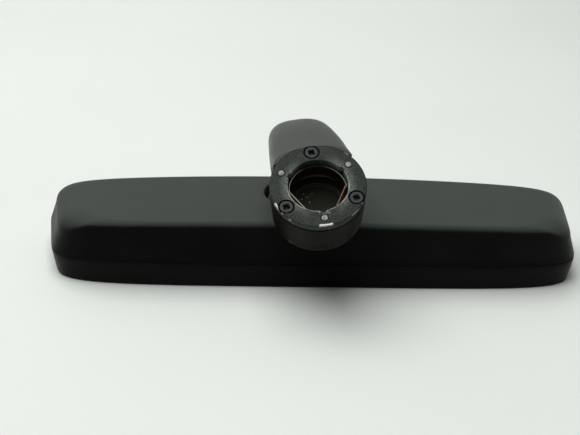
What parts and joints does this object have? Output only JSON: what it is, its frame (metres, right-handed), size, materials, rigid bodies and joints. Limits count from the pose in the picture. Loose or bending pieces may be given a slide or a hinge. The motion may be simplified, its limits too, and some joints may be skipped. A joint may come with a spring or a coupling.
{
  "type": "interior rearview mirror",
  "caption": "Interior rearview mirror with a manual day and night lever, a ball-jointed hooked arm and a round foot that locks on a windscreen button.",
  "frame": {"origin": "centre of the mirror glass's front face", "axes": "+Z away from the glass face, out of the back of the head; +X along the head; +Y towards the edge with the lever, the lower edge in a car"},
  "size_m": [0.2554, 0.1184, 0.0705],
  "materials": {
    "shell_plastic": "fine soft-touch grain",
    "bezel_plastic": "fine soft-touch grain, darker than the shell",
    "cover_plastic": "smooth matt",
    "liner_plastic": "smooth, self-coloured",
    "carrier_plastic": "plain moulded",
    "foam": "dull adhesive foam",
    "mirror_glass": "silvered on its back",
    "black_paint": "satin black paint on a casting, speckled",
    "zinc": "bare die casting",
    "steel": "plated",
    "black_steel": "blackened screw",
    "bronze": "spring bronze"
  },
  "bodies": {
    "mirror_head": {"rear_shell": "shell_plastic", "front_bezel": "bezel_plastic", "mirror_glass": "mirror_glass", "glass_pad": "foam", "carrier_plate": "carrier_plastic", "carrier_screw_1": "black_steel", "carrier_screw_2": "black_steel", "carrier_screw_3": "black_steel", "carrier_screw_4": "black_steel", "bracket_pivot_pin": "steel", "lever_pivot_pin": "steel", "lever_spring_washer_left": "steel", "lever_spring_washer_right": "steel"},
    "day_night_lever": {"day_night_lever": "bezel_plastic"},
    "toggle_bracket": {"toggle_bracket": "steel", "socket_cup": "zinc", "socket_clamp_ring": "zinc", "clamp_screw_1": "steel", "clamp_screw_2": "steel", "clamp_screw_3": "steel"},
    "lower_ball_seat": {"lower_ball_seat": "liner_plastic"},
    "upper_ball_seat": {"upper_ball_seat": "liner_plastic"},
    "arm": {"ball_stud": "steel", "stud_nut": "steel", "foot_casting": "black_paint", "arm_cover": "cover_plastic", "arm_underside_cover": "cover_plastic", "cover_screw": "black_steel", "foot_ring": "black_paint", "retaining_spring": "bronze", "ring_screw_1": "black_steel", "ring_screw_2": "black_steel", "ring_screw_3": "black_steel", "ring_pin_1": "steel", "ring_pin_2": "steel", "ring_pin_3": "steel"}
  },
  "joints": [
    {"name": "day_night_toggle", "type": "hinge", "parent": "mirror_head", "child": "day_night_lever", "pos_m": [-0.0038, 0.0245, 0.0155], "axis": [1, 0, 0], "range_deg": [0, 25]},
    {"name": "bracket_tilt", "type": "hinge", "parent": "mirror_head", "child": "toggle_bracket", "pos_m": [-0.0038, -0.022, 0.014], "axis": [1, 0, 0], "range_deg": [0, 3.5]},
    {"name": "ball_pitch", "type": "hinge", "parent": "toggle_bracket", "child": "lower_ball_seat", "pos_m": [-0.0038, 0.007, 0.0228], "axis": [1, 0, 0], "range_deg": [-12, 9]},
    {"name": "ball_swing", "type": "hinge", "parent": "lower_ball_seat", "child": "upper_ball_seat", "pos_m": [-0.0038, 0.007, 0.0228], "axis": [0, 1, 0], "range_deg": [-6, 19]},
    {"name": "ball_twist", "type": "hinge", "parent": "upper_ball_seat", "child": "arm", "pos_m": [-0.0038, 0.007, 0.0228], "axis": [-0.1284, -0.0103, 0.9917], "range_deg": [-17, 10]}
  ],
  "couplings": [
    {"joint": "bracket_tilt", "follows": "day_night_toggle", "ratio": 0.1375}
  ]
}
